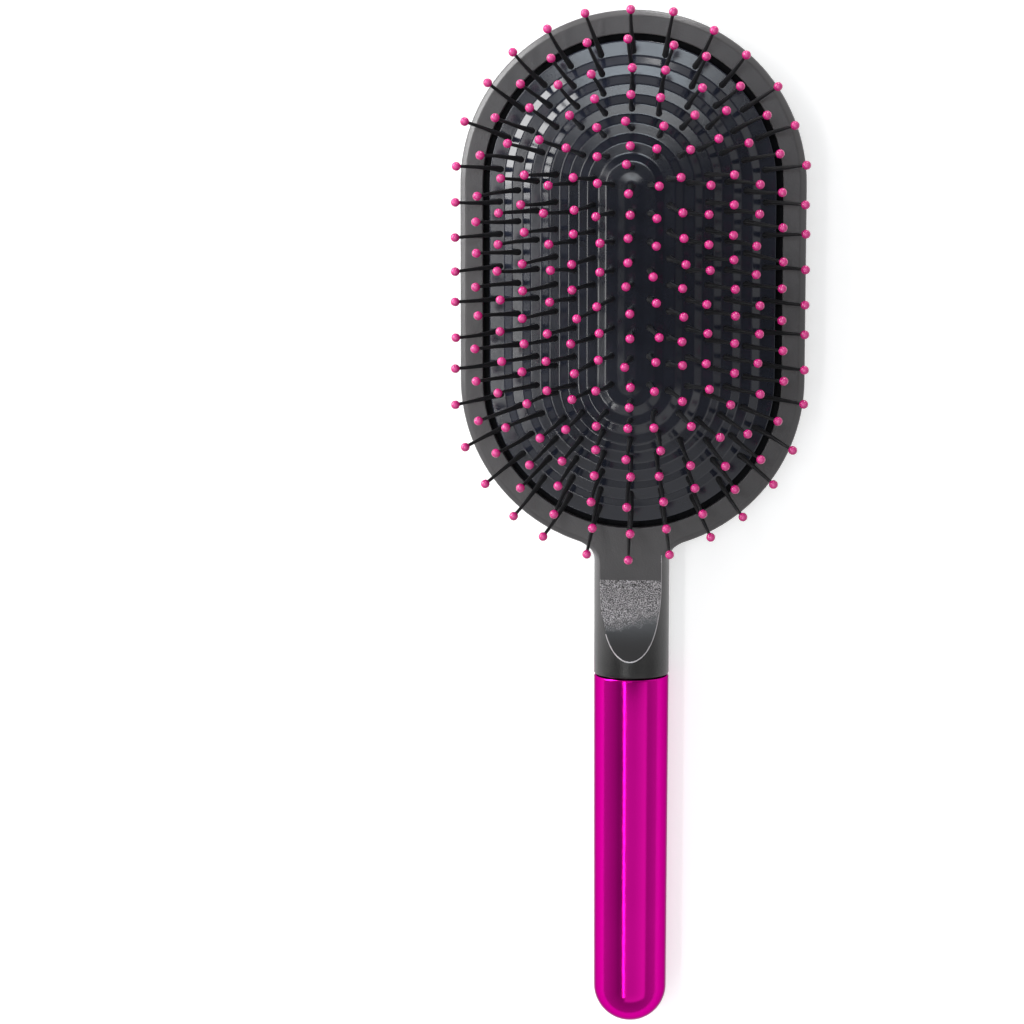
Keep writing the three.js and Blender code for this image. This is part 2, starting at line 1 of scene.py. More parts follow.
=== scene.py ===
"""Cushion styling brush: the visible pieces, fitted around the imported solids.

Metres. +Z is up, +Y points to the top of the head, X runs across the head.
"""
from math import asin, cos, pi, radians, sin, sqrt
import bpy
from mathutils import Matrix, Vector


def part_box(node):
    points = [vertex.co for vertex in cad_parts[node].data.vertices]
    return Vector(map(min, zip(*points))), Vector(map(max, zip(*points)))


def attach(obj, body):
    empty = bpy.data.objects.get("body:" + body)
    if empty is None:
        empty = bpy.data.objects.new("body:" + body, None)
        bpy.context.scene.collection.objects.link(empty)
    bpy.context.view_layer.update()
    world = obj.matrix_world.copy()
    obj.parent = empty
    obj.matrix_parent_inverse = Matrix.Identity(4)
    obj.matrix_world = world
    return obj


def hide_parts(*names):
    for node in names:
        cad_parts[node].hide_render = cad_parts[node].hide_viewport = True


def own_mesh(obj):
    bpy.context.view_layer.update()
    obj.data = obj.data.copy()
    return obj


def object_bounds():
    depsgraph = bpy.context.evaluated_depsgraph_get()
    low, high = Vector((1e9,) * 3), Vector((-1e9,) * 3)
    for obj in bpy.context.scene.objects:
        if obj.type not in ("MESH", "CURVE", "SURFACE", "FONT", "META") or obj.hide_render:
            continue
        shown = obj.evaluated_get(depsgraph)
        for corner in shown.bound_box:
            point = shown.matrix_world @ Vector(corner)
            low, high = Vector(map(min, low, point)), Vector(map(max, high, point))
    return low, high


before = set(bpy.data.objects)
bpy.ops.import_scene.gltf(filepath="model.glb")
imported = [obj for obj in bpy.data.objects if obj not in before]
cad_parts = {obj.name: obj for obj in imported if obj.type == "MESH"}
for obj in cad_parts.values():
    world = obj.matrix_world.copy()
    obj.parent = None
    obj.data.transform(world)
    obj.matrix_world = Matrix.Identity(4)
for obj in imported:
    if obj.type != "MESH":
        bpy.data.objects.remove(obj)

from types import SimpleNamespace

import bmesh
import bpy
import numpy as np
from bpy.props import FloatProperty, FloatVectorProperty, IntProperty, PointerProperty
from mathutils import Matrix, Vector

bl_info = {
    "name": "Cushion styling brush",
    "version": (1, 0, 0),
    "blender": (4, 5, 0),
    "location": "View3D > Sidebar > Brush",
    "description": "Builds a cushion styling brush around its packed solids, piece by piece",
    "category": "Add Mesh",
}

MM = 0.001
SOLIDS_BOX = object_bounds()
PINS_PER_RING = (38, 36, 34, 32, 26, 24, 18, 9)
PIN_RING_INSET = 2.5 * MM
SLICE_BODIES = ("outer", "middle", "inner", "crown")
RINGS_PER_SLICE = 2


def length(name, description, default):
    """A size that a user can change, given in millimetres."""
    return FloatProperty(
        name=name, description=description, default=default * MM, min=0.0,
        unit="LENGTH", subtype="DISTANCE", precision=5,
    )


def colour(name, description, default):
    """A surface colour, as red, green and blue."""
    return FloatVectorProperty(
        name=name, description=description, default=default, size=3,
        min=0.0, max=1.0, subtype="COLOR",
    )


class BrushSizes(bpy.types.PropertyGroup):
    """Sizes of the brush"""

    head_width: length("Head width", "Across the head", 89)
    head_straight: length("Head straight", "Between its round ends' centres", 50.2)
    face_height: length("Face height", "Of the head's face over the axis", 5.6)
    frame_width: length("Frame width", "Head's edge to its opening", 6)
    front_chamfer: length("Front chamfer", "Bevel round the head's face", 1.1)
    back_rounding: length("Back rounding", "Height of the back cover's bend", 3)
    shell_wall: length("Shell wall", "Thickness of the back cover", 1.6)
    shell_gap: length("Shell gap", "Parting line between the two shells", 0.3)
    neck_diameter: length("Neck diameter", "Across the neck and the sleeve's open end", 19.6)
    neck_length: length("Neck length", "Head to sleeve", 33.2)
    neck_fillet: length("Neck fillet", "Between head and neck, in plan", 6)
    collar_length: length("Collar length", "Between scoops and sleeve", 4.4)
    ramp_length: length("Ramp length", "Rise of each scoop up to the collar", 21)
    scoop_edge: length("Scoop edge", "Softness of a scoop's edge", 0.25)
    # the band it reaches has coarse grain and painted glints in its colour
    scoop_grain_and_glints: length("Scoop grain", "Reach of a scoop's coarse grain", 11)
    sleeve_length: length("Sleeve length", "Of the handle's sleeve", 93.8)
    sleeve_end_diameter: length("Sleeve end diameter", "Across the sleeve's round end", 19.1)
    sleeve_wall: length("Sleeve wall", "Thickness of the sleeve", 1.2)
    sleeve_lip: length("Sleeve lip", "Rounding of the sleeve's open end", 0.55)
    groove_width: length("Groove width", "Between frame and cushion", 1.7)
    lip_thickness: length("Lip thickness", "Over the cushion's flange", 2.4)
    cushion_sink: length("Cushion sink", "Cushion's base below the head's face", 0.6)
    cushion_crown: length("Cushion crown", "Height of the top terrace over the base", 8)
    cushion_skin: length("Cushion skin", "Thickness of the rubber", 1.6)
    step_width: length("Step width", "Sloped step between two terraces", 2)
    step_rounding: length("Step rounding", "Softness of the terraces' edges", 0.32)
    terrace_fall: length("Terrace fall", "Of the outer terrace's edge", 0.25)
    pin_length: length("Pin length", "Cushion to ball tip's middle", 17)
    pin_root_diameter: length("Pin root diameter", "Where a pin leaves the cushion", 1.6)
    pin_diameter: length("Pin diameter", "Below the ball tip", 0.84)
    ball_diameter: length("Ball diameter", "Of a ball tip", 2.3)
    pin_scatter: length("Pin scatter", "Of ball tips from even places", 0.5)
    pin_lean: FloatProperty(
        name="Pin lean", description="Outward lean of the outermost pins",
        default=radians(37.5), min=0.0, max=radians(60), subtype="ANGLE",
    )
    seed: IntProperty(name="Seed", description="Of the pins' small irregularity", default=7, min=0)


class BrushColours(bpy.types.PropertyGroup):
    """Colours of the brush"""

    front_shell: colour("Front shell", "Charcoal of the frame and neck", (0.053, 0.0505, 0.0525))
    back_shell: colour("Back shell", "Charcoal of the back cover", (0.024, 0.024, 0.024))
    sleeve: colour("Sleeve", "Magenta metal of the handle's sleeve", (0.53, 0.003, 0.255))
    cushion: colour("Cushion", "Blue-black of the rubber cushion", (0.010, 0.012, 0.021))
    pin: colour("Pins", "Black of the pins", (0.014, 0.014, 0.015))
    ball: colour("Ball tips", "Pink of the ball tips", (0.52, 0.012, 0.17))
    core: colour("Handle core", "Grey of the handle's inner part", (0.27, 0.27, 0.26))
    tray: colour("Tray", "Grey of the tray and the clamp ring", (0.024, 0.024, 0.026))
    ring: colour("Sleeve rings", "Black of the rubber rings", (0.008, 0.008, 0.008))
    screw: colour("Screws", "Plated steel", (0.62, 0.63, 0.65))
    floor: colour("Floor", "Pale floor", (0.86, 0.86, 0.86))


def brush_plan(size):
    """Places that follow from the sizes. A height called rise counts from the handle's axis."""
    plan = SimpleNamespace()
    plan.radius = size.head_width / 2
    plan.neck = size.neck_diameter / 2
    plan.opening = plan.radius - size.frame_width
    plan.cushion = plan.opening - size.groove_width
    plan.axis_z = plan.neck
    plan.part = size.shell_gap / 2
    plan.side_rise = size.face_height - size.back_rounding
    plan.seam_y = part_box("handle_sleeve")[1].y + size.shell_gap
    plan.low_y = plan.seam_y + size.neck_length + plan.radius
    plan.high_y = plan.low_y + size.head_straight
    plan.fillet_x = plan.neck + size.neck_fillet
    reach = plan.radius + size.neck_fillet
    plan.fillet_y = plan.low_y - sqrt(reach**2 - plan.fillet_x**2)
    plan.touch = asin(plan.fillet_x / reach)
    plan.ramp_end_y = plan.seam_y + size.collar_length
    plan.ramp_start_y = plan.ramp_end_y + size.ramp_length
    rise = plan.neck - size.face_height
    plan.ramp_radius = (size.ramp_length**2 + rise**2) / (2 * rise)
    plan.cushion_z = plan.axis_z + size.face_height - size.cushion_sink
    plan.outer_pins = plan.cushion - PIN_RING_INSET
    plan.ring_pitch = plan.outer_pins / (len(PINS_PER_RING) - 1)
    return plan


# Meshes

SHARP_ANGLE = radians(32)
WELD_DISTANCE, SHORTEST_EDGE = 0.002 * MM, 0.0005 * MM


class Skin:
    """Faces that are gathered from grids and polygons, and welded into one mesh."""

    def __init__(self):
        self.points, self.faces = [], []

    def grid(self, places, wrap_rows=False, wrap_columns=False):
        """Quads over an array of rows and columns of points."""
        places = np.asarray(places, float)
        rows, columns = places.shape[:2]
        start = len(self.points)
        self.points.extend(places.reshape(-1, 3))
        for i in range(rows if wrap_rows else rows - 1):
            for j in range(columns if wrap_columns else columns - 1):
                i2, j2 = (i + 1) % rows, (j + 1) % columns
                corners = (i * columns + j, i * columns + j2, i2 * columns + j2, i2 * columns + j)
                self.faces.append([start + c for c in corners])

    def polygon(self, places):
        """One flat face."""
        start = len(self.points)
        self.points.extend(places)
        self.faces.append(list(range(start, len(self.points))))

    def finish(self, name, sharp=SHARP_ANGLE):
        """The mesh object."""
        mesh = bpy.data.meshes.new(name)
        mesh.from_pydata([tuple(p) for p in self.points], [], self.faces)
        shape = bmesh.new()
        shape.from_mesh(mesh)
        bmesh.ops.remove_doubles(shape, verts=shape.verts, dist=WELD_DISTANCE)
        bmesh.ops.dissolve_degenerate(shape, edges=shape.edges, dist=SHORTEST_EDGE)
        bmesh.ops.recalc_face_normals(shape, faces=shape.faces)
        shape.to_mesh(mesh)
        shape.free()
        return placed(mesh, sharp)


def placed(mesh, sharp):
    """A mesh as an object of the scene."""
    piece = bpy.data.objects.new(mesh.name, mesh)
    bpy.context.scene.collection.objects.link(piece)
    smooth(piece, sharp)
    return piece


def smooth(piece, sharp=SHARP_ANGLE):
    """Smooth shading that stops at edges sharper than an angle."""
    piece.data.shade_smooth()
    piece.data.set_sharp_from_angle(angle=sharp)


def soft_min(a, b, softness):
    """The lower of two heights, rounded where they meet."""
    near = np.maximum(softness - np.abs(a - b), 0)
    return np.minimum(a, b) - near**2 / (4 * np.maximum(softness, 1e-12))


def soft_max(a, b, softness):
    """The higher of two heights, rounded where they meet."""
    return -soft_min(-a, -b, softness)


def smoothstep(t):
    """From 0 to 1 with level ends."""
    t = np.clip(t, 0, 1)
    return t * t * (3 - 2 * t)


def rounded(corners, steps=4):
    """A path of [across, up] through corners given as (across, up, rounding). A rounding takes
    no more than 0.42 of an edge, and an extra point stands a little before and after it."""
    longest, extra = 0.42, 0.15
    path = []
    for i, (x, z, radius) in enumerate(corners):
        here = np.array((x, z))
        if radius <= 0 or i in (0, len(corners) - 1):
            path.append(here)
            continue
        ends = []
        for other in (corners[i - 1], corners[i + 1]):
            way = np.array(other[:2]) - here
            ends.append(here + way * min(radius / np.linalg.norm(way), longest))
        path.append(ends[0] + extra * (ends[0] - here))
        for t in np.linspace(0, 1, steps + 1):
            path.append((1 - t) ** 2 * ends[0] + 2 * t * (1 - t) * here + t**2 * ends[1])
        path.append(ends[1] + extra * (ends[1] - here))
    return np.array(path)


def head_route(plan, first=0.0, steps=64):
    """Points of the head's middle line as (y, out x, out y), each with its direction outwards: from
    an angle beside the neck, round the top of the head, to the same angle on the other side."""
    low = np.linspace(first, pi / 2, round(steps / 2 * (1 - first / (pi / 2))) + 1)
    high = np.linspace(0, pi, steps + 1)
    straight = np.linspace(plan.low_y, plan.high_y, 6)[1:-1]
    route = [(plan.low_y, sin(a), -cos(a)) for a in low]
    route += [(y, 1, 0) for y in straight]
    route += [(plan.high_y, cos(a), sin(a)) for a in high]
    route += [(y, -1, 0) for y in straight[::-1]]
    route += [(plan.low_y, -sin(a), -cos(a)) for a in low[::-1]]
    return np.array(route)


def swept(route, section):
    """A grid of points: a section of [radius, z] carried along the head's outline."""
    section = np.asarray(section)
    base, out_x, out_y = (column[:, None] for column in route.T)
    r, z = section[:, 0][None], section[:, 1][None]
    return np.stack([out_x * r, base + out_y * r, z + 0 * base], axis=2)


def cut(piece, tools, operation="DIFFERENCE"):
    """Cuts closed tools from a closed piece, or adds them to it, and removes them. The solver
    leaves a piece that isn't closed as it was, so a cut that changes nothing is an error."""
    for tool in tools:
        change = piece.modifiers.new("cut", "BOOLEAN")
        change.operation, change.object, change.solver = operation, tool, "MANIFOLD"
        changed = bpy.data.meshes.new_from_object(
            piece.evaluated_get(bpy.context.evaluated_depsgraph_get())
        )
        piece.modifiers.clear()
        if len(changed.polygons) in (0, len(piece.data.polygons)):
            raise RuntimeError(f"{piece.name}: a cut changed nothing")
        old, piece.data = piece.data, changed
        changed.name = piece.name
        bpy.data.meshes.remove(old)
        bpy.data.objects.remove(tool)


def turned(profile, sides, name, centre=(0, 0), along="Y"):
    """A round piece from a list of [radius, place along its axis], closed on the axis."""
    skin = Skin()
    rows = []
    for radius, place in profile:
        angles = np.linspace(0, 2 * pi, sides, endpoint=False)
        ring = [(radius * cos(a) + centre[0], radius * sin(a) + centre[1]) for a in angles]
        rows.append([(a, place, b) if along == "Y" else (a, b, place) for a, b in ring])
    skin.grid(rows, wrap_columns=True)
    return skin.finish(name)


# The two shells

CHAMFER_SLOPE, CHAMFER_SOFTNESS = 1.35, 0.35 * MM
FRONT_EASE, BACK_EASE, EASE_HEIGHT = 0.2 * MM, 0.45 * MM, 0.4 * MM
SEAT_WIDTH = 1.5 * MM
SPIGOT_LENGTH, SPIGOT_CHAMFER = 8 * MM, 0.4 * MM
SLOT_LENGTH, SLOT_REACH, SLOT_WALL = 9 * MM, 3.5 * MM, 1.4 * MM
BOSS_RADIUS, BORE_RADIUS, BOSS_CHAMFER = 2.8 * MM, 1.4 * MM, 0.3 * MM
BOSS_INSET, BOSS_SINK = 14 * MM, 0.78 * MM
POST_INSETS, POST_RADIUS = (5.5 * MM, 18.5 * MM), 2 * MM
POST_FOOT, POST_TOP = 4.3 * MM, 3.2 * MM
RIM_STEPS = np.array([0.55, 0.4, 0.3, 0.2, 0.1, 0]) * MM
CROWN_STEPS = np.array([2.6, 2.2, 1.8, 1.5, 1.2, 0.9, 0.6, 0.3, 0]) * MM
COLLAR_STEPS = np.array([0.1, 0.2, 0.32, 0.46, 0.62, 0.8, 1.1, 1.5, 2.2, 3.0]) * MM
SEAM_ROUNDING = ((0, 0.35), (0.02, 0.24), (0.1, 0.11), (0.22, 0.03), (0.4, 0))  # mm in, mm up

# shares of a width or an angle, closer together where a surface bends
FLAT_STEPS = np.array([
    0.012, 0.025, 0.042, 0.065, 0.1, 0.15, 0.22, 0.31, 0.42, 0.55, 0.7, 0.85, 1.0,
])
SIDE_STEPS = np.concatenate([
    [0, 0.012, 0.03, 0.055], np.linspace(0.1, 0.7, 9),
    [0.74, 0.76, 0.775, 0.79, 0.81, 0.84, 0.88, 0.915, 0.94, 0.96, 0.975, 0.988, 1.0],
])


def head_inset(plan, size, rise, front):
    """How far the head's side stands back at a height from the axis."""
    if front:
        past = rise - (size.face_height - size.front_chamfer)
        return CHAMFER_SLOPE * soft_max(0 * rise, past, CHAMFER_SOFTNESS)
    depth = np.clip((rise - plan.side_rise) / (plan.axis_z - plan.side_rise), 0, 1)
    return plan.radius * (1 - (1 - depth**2) ** (1 / 3))


def neck_inset(radius, rise):
    """How far the neck's round side stands back at a height from the axis."""
    return radius - np.sqrt(np.maximum(radius**2 - rise**2, 0))


def crown_rise(plan, r):
    """Height of the back cover at a distance from the head's middle line."""
    share = np.clip(r / plan.radius, 0, 1)
    return plan.side_rise + (plan.axis_z - plan.side_rise) * np.sqrt(1 - share**3)


def scoop_rise(plan, size, y):
    """Height of the scooped face of the neck: level, then a hollow ramp up to the collar."""
    along = np.clip(plan.ramp_start_y - y, 0, 0.9 * plan.ramp_radius)
    return size.face_height + plan.ramp_radius - np.sqrt(plan.ramp_radius**2 - along**2)


def edge_ease(plan, rise, front):
    """Small rounding along the parting line, where the back cover stands in a little more."""
    depth = FRONT_EASE if front else BACK_EASE
    return depth * np.clip(1 - (rise - plan.part) / EASE_HEIGHT, 0, 1) ** 2


def neck_rows(plan, size, bulge):
    """Rows of the neck's patch, from the head down to the spigot in the sleeve: each an outline
    point, its inward direction, its share of the head's side, its radius and its bulge."""
    neck = plan.neck
    rows = []
    first_angle = pi / 2 + plan.touch
    for t in np.linspace(0, 1, 25):
        angle = first_angle + (pi - first_angle) * t
        normal = np.array((cos(angle), sin(angle)))
        place = np.array((plan.fillet_x, plan.fillet_y)) + size.neck_fillet * normal
        left = sin(angle) / sin(first_angle)
        rows.append((place, normal, float(smoothstep(left)), neck, bulge * left**2))

    ys = list(np.linspace(plan.fillet_y, plan.ramp_start_y, 7)[1:])
    fine = np.linspace(plan.ramp_start_y, plan.ramp_end_y, 2000)
    half_width = np.sqrt(np.maximum(neck**2 - scoop_rise(plan, size, fine) ** 2, 0))
    way = np.concatenate([[0], np.cumsum(np.hypot(np.diff(fine), np.diff(half_width)))])
    ys += list(np.interp(np.linspace(0, way[-1], 66)[1:], way, fine))
    ys += list(plan.ramp_end_y - COLLAR_STEPS)
    spigot = neck - size.sleeve_wall - size.shell_gap
    straight = [(neck, y) for y in ys]
    straight += [(neck - step * MM, plan.seam_y + drop * MM) for step, drop in SEAM_ROUNDING]
    straight += [(spigot, plan.seam_y), (spigot, plan.seam_y - SPIGOT_LENGTH + SPIGOT_CHAMFER)]
    straight.append((spigot - SPIGOT_CHAMFER, plan.seam_y - SPIGOT_LENGTH))
    inward = np.array((-1.0, 0.0))
    return rows + [(np.array((radius, y)), inward, 0.0, radius, 0.0) for radius, y in straight]


def shell_half(plan, size, front, name):
    """One half of the head and neck: a ring or dish swept round the head, and a patch of rows from
    the head's low end down the neck."""
    touch, neck, fillet = plan.touch, plan.neck, size.neck_fillet
    up = 1 if front else -1
    edge = size.scoop_edge if front else 2 * size.scoop_edge
    corner = size.face_height

    def outside(x, y, side_rise):
        """Height of the outer surface, where the side alone would stand at side_rise."""
        rise = soft_min(scoop_rise(plan, size, y), side_rise, edge)
        if front:
            return rise
        r = np.hypot(x, y - plan.low_y)
        off_neck = np.abs(np.arctan2(x, plan.low_y - y))
        softness = (corner - plan.side_rise) * smoothstep(1.5 * (touch - off_neck) / touch)
        on_crown = (r < plan.radius - 0.001 * MM) & (side_rise >= plan.side_rise)
        return np.where(on_crown, soft_max(rise, crown_rise(plan, r), softness), rise)

    def side(share, radius, top):
        """Insets and heights from the parting line to the scoop's edge."""
        first = asin(plan.part / radius)
        angle = first + (min(asin(min(top / radius, 1)), radians(84)) - first) * SIDE_STEPS
        rise = radius * np.sin(angle)
        inset = (1 - share) * neck_inset(radius, rise) + share * head_inset(plan, size, rise, front)
        return inset, rise

    def side_rise_at(depth, share, radius):
        """The side's height at a distance in from the outline."""
        rise = radius * np.sin(np.linspace(0, pi / 2, 500))
        inset = (1 - share) * neck_inset(radius, rise) + share * head_inset(plan, size, rise, front)
        return np.interp(depth, np.maximum.accumulate(inset + 1e-9 * np.arange(500)), rise)

    spread = np.cos(touch * (1 - FLAT_STEPS)) - cos(touch)
    head_side = side(1, neck, corner)
    bulge = (plan.radius - head_side[0][-1]) * (1 - cos(touch))

    patch = []
    for place, normal, share, radius, row_bulge in neck_rows(plan, size, bulge):
        top = scoop_rise(plan, size, place[1]) if radius == neck else neck
        inset, rise = side(share, radius, top)
        sides = place + inset[:, None] * normal
        across = sides[-1, 0] * np.sin(touch * (1 - FLAT_STEPS)) / sin(touch)
        down = sides[-1, 1] - row_bulge * spread / (1 - cos(touch))
        if place[1] > plan.fillet_y:
            depth = np.hypot(across - plan.fillet_x, down - plan.fillet_y) - fillet
        else:
            depth = radius - across
        places = np.concatenate([sides, np.column_stack([across, down])])
        side_rise = np.concatenate([rise, side_rise_at(depth, share, radius)])
        z = plan.axis_z + up * outside(places[:, 0], places[:, 1], side_rise)
        places[:len(rise)] += edge_ease(plan, rise, front)[:, None] * normal
        half = np.column_stack([places, z])
        patch.append(np.concatenate([half, half[-2::-1] * (-1, 1, 1)]))
    patch = np.array(patch)

    skin = Skin()
    skin.grid(patch)
    skin.polygon(patch[-1])

    def column(points):
        return np.column_stack([points[:, 0], plan.axis_z + up * points[:, 1]])

    inset, rise = head_side
    corner_radius = plan.radius - inset[-1]
    side_radii = plan.radius - inset - edge_ease(plan, rise, front)
    if front:
        seat = plan.opening + SEAT_WIDTH
        lip = corner - size.lip_thickness
        inner = rounded([
            (seat, plan.part, 0), (seat, lip, 0.15 * MM), (plan.opening, lip, 0.2 * MM),
            (plan.opening, corner, 0.3 * MM), (plan.opening + 0.8 * MM, corner, 0),
        ])
        radii = np.linspace(plan.opening + 0.8 * MM, corner_radius - 0.8 * MM, 6)[1:]
        radii = np.concatenate([radii, corner_radius - RIM_STEPS])
    else:
        inner = np.empty((0, 2))
        radii = np.linspace(0, corner_radius - 3 * MM, 40)
        radii = np.concatenate([radii, corner_radius - CROWN_STEPS])

    # the head's ring or dish, from one side of the neck round to the other
    route = head_route(plan, touch)

    flat = soft_min(corner + 0 * radii, side_rise_at(plan.radius - radii, 1.0, neck), edge)
    face = np.column_stack([radii, flat if front else crown_rise(plan, radii)])
    side_rises = soft_min(corner + 0 * rise, rise, edge) if front else rise
    side_face = np.column_stack([side_radii, side_rises])
    section = np.concatenate([inner, face, side_face[-2::-1]])
    skin.grid(swept(route, column(section)))

    # the same rows across the low end, between the two sides of the neck
    angles = np.concatenate([[touch], touch * (1 - FLAT_STEPS)])
    angles = np.concatenate([angles, -angles[-2::-1]])
    r = np.concatenate([inner[:, 0], radii])[:, None]
    x = r * np.sin(angles)[None]
    y = plan.low_y - r * np.cos(angles)[None]
    depth = np.hypot(np.abs(x) - plan.fillet_x, y - plan.fillet_y) - fillet
    flat_rise = side_rise_at(depth, 1.0, neck)
    z = plan.axis_z + up * outside(x, y, flat_rise)
    if front:
        z[:len(inner)] = plan.axis_z + inner[:, 1][:, None]
    skin.grid(np.stack([x, y, z], axis=2))

    # what closes the half along the parting line
    part_z = plan.axis_z + up * plan.part
    if front:
        inner_radius = seat
        skin.grid(swept(route, [(side_radii[0], part_z), (seat, part_z)]))
    else:
        inner_radius = plan.radius - size.shell_wall
        hollow = np.sin(pi / 2 * np.linspace(0, 1, 26))
        depth = plan.axis_z - size.shell_wall - plan.side_rise
        hollow_rise = plan.side_rise + depth * np.sqrt(1 - hollow**3)
        inner = np.column_stack([hollow * inner_radius, hollow_rise])
        inner = np.concatenate([inner, [(inner_radius, plan.part)]])
        skin.grid(swept(route, np.concatenate([column(inner), [(side_radii[0], part_z)]])))
        r = inner[:, 0][:, None]
        x, y = r * np.sin(angles)[None], plan.low_y - r * np.cos(angles)[None]
        skin.grid(np.stack([x, y, plan.axis_z - inner[:, 1][:, None] + 0 * x], axis=2))
    arc = [(inner_radius * sin(a), plan.low_y - inner_radius * cos(a), part_z) for a in angles]
    skin.polygon([*patch[:, 0], *patch[::-1, -1], *arc[::-1]])
    return skin.finish(name)


def core_slot(plan, size):
    """What the handle core's flat bar needs in the neck, as a cutting tool."""
    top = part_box("handle_core")[1].y + size.shell_gap
    radius = plan.neck - size.sleeve_wall - size.shell_gap - SLOT_WALL
    angle = asin(SLOT_REACH / radius)
    outline = [(radius * cos(a), radius * sin(a)) for a in np.linspace(-angle, angle, 12)]
    outline += [(-x, -z) for x, z in outline]
    skin = Skin()
    loops = [
        [(x, y, plan.axis_z + z) for x, z in outline] for y in (plan.seam_y - SLOT_LENGTH, top)
    ]
    skin.grid(loops, wrap_columns=True)
    for loop in loops:
        skin.polygon(loop)
    return skin.finish("slot_tool")


def inner_posts(plan, size):
    """Screw bosses and locating posts inside the back cover, and the bores in the bosses."""

    def pillar(name, centre, radius, foot, top, sides, edge=0.0):
        rim = [(radius - edge, top)] if edge else []
        profile = [(0, foot), (radius, foot), (radius, top - edge), *rim, (0, top)]
        return turned(profile, sides, name, centre, "Z")

    posts, bores = [], []
    boss_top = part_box("cushion_tray")[0].z - size.shell_gap
    boss_foot = plan.axis_z - crown_rise(plan, plan.radius - BOSS_INSET) + BOSS_SINK
    for node in sorted(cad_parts):
        if not node.startswith("tray_screw"):
            continue
        low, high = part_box(node)
        centre = ((low.x + high.x) / 2, (low.y + high.y) / 2)
        posts.append(pillar("boss", centre, BOSS_RADIUS, boss_foot, boss_top, 40, BOSS_CHAMFER))
        bores.append(pillar("bore", centre, BORE_RADIUS, low.z - size.shell_gap, boss_top + MM, 32))
    for inset in POST_INSETS:
        centre = (0.0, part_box("handle_core")[1].y - inset)
        foot, top = plan.axis_z - POST_FOOT, plan.axis_z + POST_TOP
        posts.append(pillar("post", centre, POST_RADIUS, foot, top, 32, BOSS_CHAMFER))
    return posts, bores


# Materials

class Look:
    """The nodes of a material or of the world, and the steps that they are made of."""

    def __init__(self, owner, end):
        owner.use_nodes = True
        self.owner, self.tree = owner, owner.node_tree
        self.end = self.tree.nodes[end]
        self.where = self.node("TexCoord", {}).outputs

    def fill(self, node, values):
        """Gives each input of a node a number, a direction, a colour or another node's output."""
        for name, value in values.items():
            entry = node.inputs[name]
            if isinstance(value, bpy.types.NodeSocket):
                self.tree.links.new(value, entry)
            else:
                entry.default_value = (*value, 1) if entry.type == "RGBA" else value

    def node(self, kind, values, **settings):
        """A new node with its settings and inputs."""
        node = self.tree.nodes.new("ShaderNode" + kind)
        for name, value in settings.items():
            setattr(node, name, value)
        self.fill(node, values)
        return node

    def noise(self, scale, detail=3.0, roughness=0.55):
        """Fine noise over the object's own coordinates."""
        values = {"Scale": scale, "Detail": detail, "Roughness": roughness}
        return self.node("TexNoise", {"Vector": self.where["Object"], **values}).outputs["Fac"]

    def remap(self, value, low, high, low_in=0.3, high_in=0.7):
        """The value spread between two others."""
        return self.node("MapRange", {
            "Value": value, "From Min": low_in, "From Max": high_in, "To Min": low, "To Max": high,
        }).outputs["Result"]

    def tint(self, factor, dark, light):
        """A colour between two others, of which the first may come from other nodes."""
        values = {"Factor": factor, "A": dark, "B": light}
        return self.node("Mix", values, data_type="RGBA").outputs["Result"]

    def mottled(self, pattern, base, low, high):
        """A colour whose brightness wanders between two shares of its own."""
        base = np.array(base)
        return self.tint(self.remap(pattern, 0, 1), base * low, base * high)

    def bump(self, height, strength, distance):
        """Relief from a height."""
        values = {"Height": height, "Strength": strength, "Distance": distance}
        return self.node("Bump", values).outputs["Normal"]

    def part_of(self, vector, axis):
        """One part of a vector."""
        return self.node("SeparateXYZ", {0: vector}).outputs[axis]

    def math(self, operation, *values, use_clamp=False):
        """A sum or product of numbers and other nodes' outputs."""
        values = dict(enumerate(values))
        return self.node("Math", values, operation=operation, use_clamp=use_clamp).outputs[0]

    def finish(self, **values):
        """The material, with its shader's inputs filled, each named as there with _ for a space."""
        self.fill(self.end, {name.replace("_", " "): value for name, value in values.items()})
        return self.owner


def new_look(name):
    """The nodes of a new material."""
    return Look(bpy.data.materials.new(name), "Principled BSDF")


def moulded(
    name, base, roughness, grain=0.35, grain_scale=2600, shade=0.18, specular=0.5, painted_shade=None
):
    """Moulded plastic or rubber: fine spark-eroded grain, and faint unevenness of shade and gloss.
    A painted shade darkens the colour along Y: a place where the surface is darkest, one where it
    is plain, and a share."""
    look = new_look(name)
    fine, broad = look.noise(grain_scale, 2.0, 0.6), look.noise(38, 4.0)
    shades = look.mottled(broad, base, 1 - shade, 1 + shade)
    # painted shade: the colour darkens along Y towards the sleeve
    if painted_shade:
        dark_y, plain_y, share = painted_shade
        along = look.remap(look.part_of(look.where["Object"], "Y"), 1, 0, dark_y, plain_y)
        shades = look.tint(along, shades, np.array(base) * share)
    return look.finish(
        Base_Color=shades, Roughness=look.remap(broad, roughness - 0.03, roughness + 0.04),
        Specular_IOR_Level=specular, Normal=look.bump(fine, grain, 0.12 * MM),
    )


